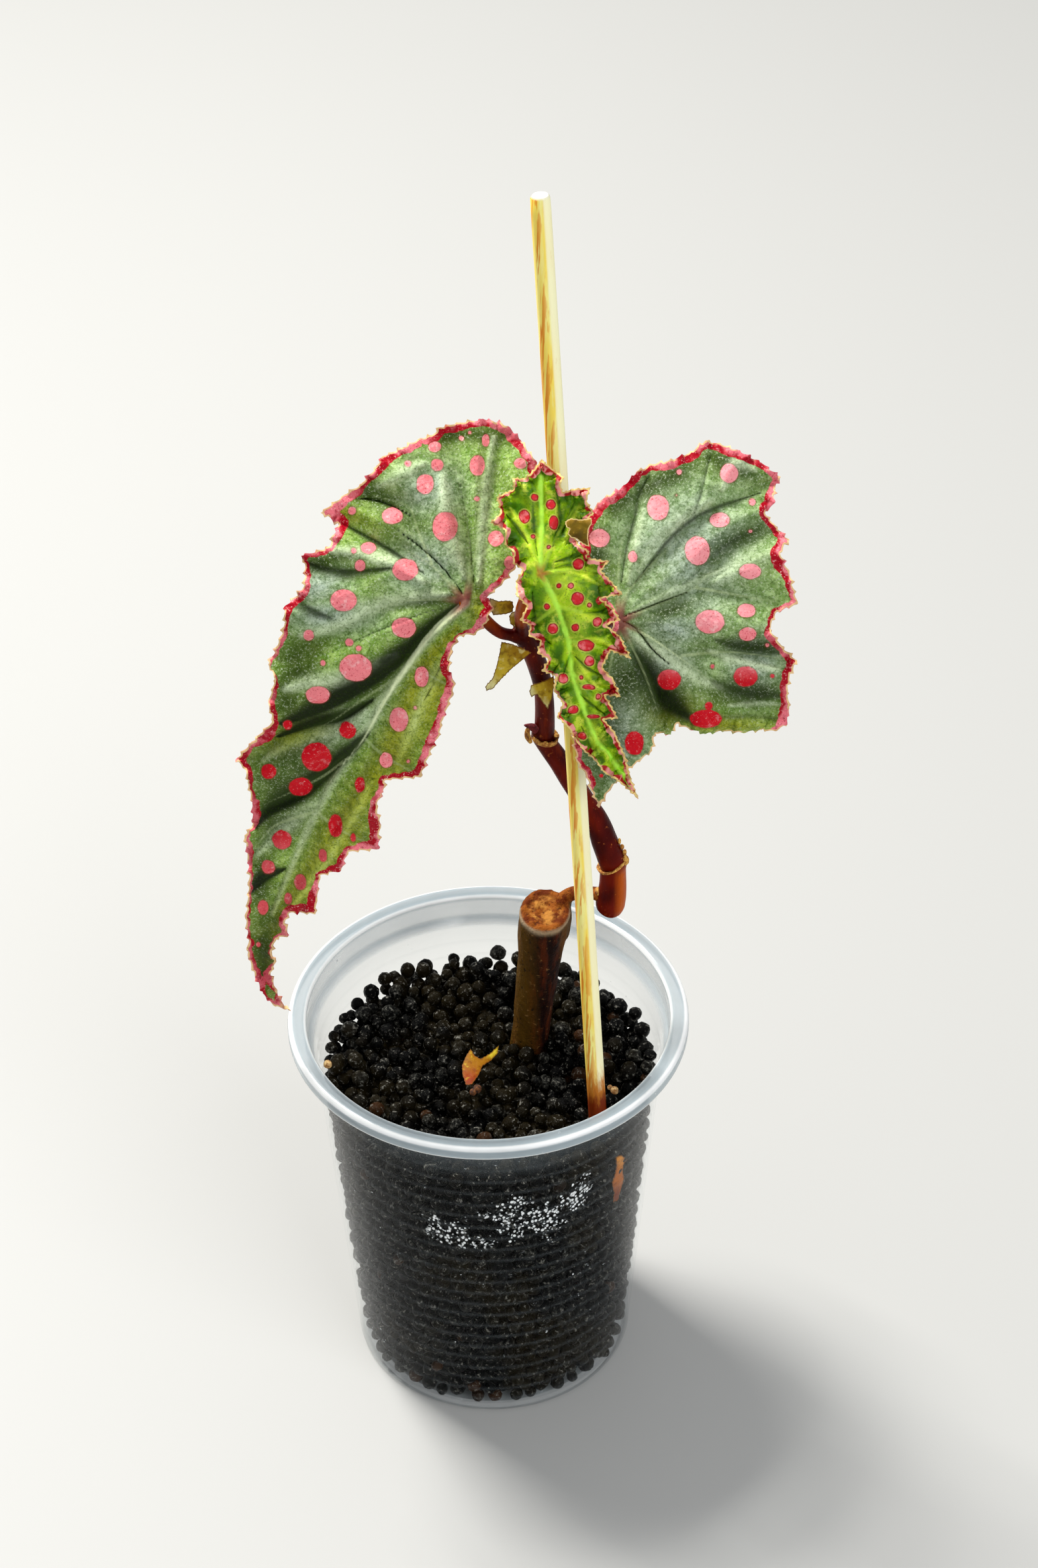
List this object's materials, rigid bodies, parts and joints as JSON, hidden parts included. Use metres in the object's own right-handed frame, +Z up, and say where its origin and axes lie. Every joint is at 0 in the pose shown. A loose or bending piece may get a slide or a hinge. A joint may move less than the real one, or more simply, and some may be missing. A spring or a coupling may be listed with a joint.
{
  "type": "potted begonia",
  "caption": "Young spotted begonia cutting on an old cut cane, with drooping toothed leaves and a straight stake, in a clear round cup of dark soil grains.",
  "frame": {"origin": "middle of the cup's foot, on the surface that the cup stands on", "axes": "+Z up; +X to the viewer's right and +Y away from the viewer when the leaves face the viewer"},
  "size_m": [0.0949, 0.072, 0.2422],
  "materials": {
    "cup": "clear, slightly milky, thin moulded plastic",
    "soil": "matt round grains of baked soil",
    "cane": "brown woody stem",
    "shoot": "smooth red-brown stem",
    "leaf": "grey-green leaf with pink spots and a pink toothed edge",
    "young_leaf": "lime-green leaf with crimson spots",
    "scale": "olive papery scale",
    "dry_scale": "dry orange scale",
    "stake": "pale split bamboo"
  },
  "bodies": {
    "root": {"cup": "cup", "substrate": "soil", "old_cane": "cane", "new_shoot": "shoot", "leaf_left": "leaf", "leaf_right": "leaf", "leaf_young": "young_leaf", "scale_upper": "scale", "scale_middle": "scale", "scale_lower": "scale", "dry_scale": "dry_scale", "stake": "stake"}
  },
  "joints": []
}
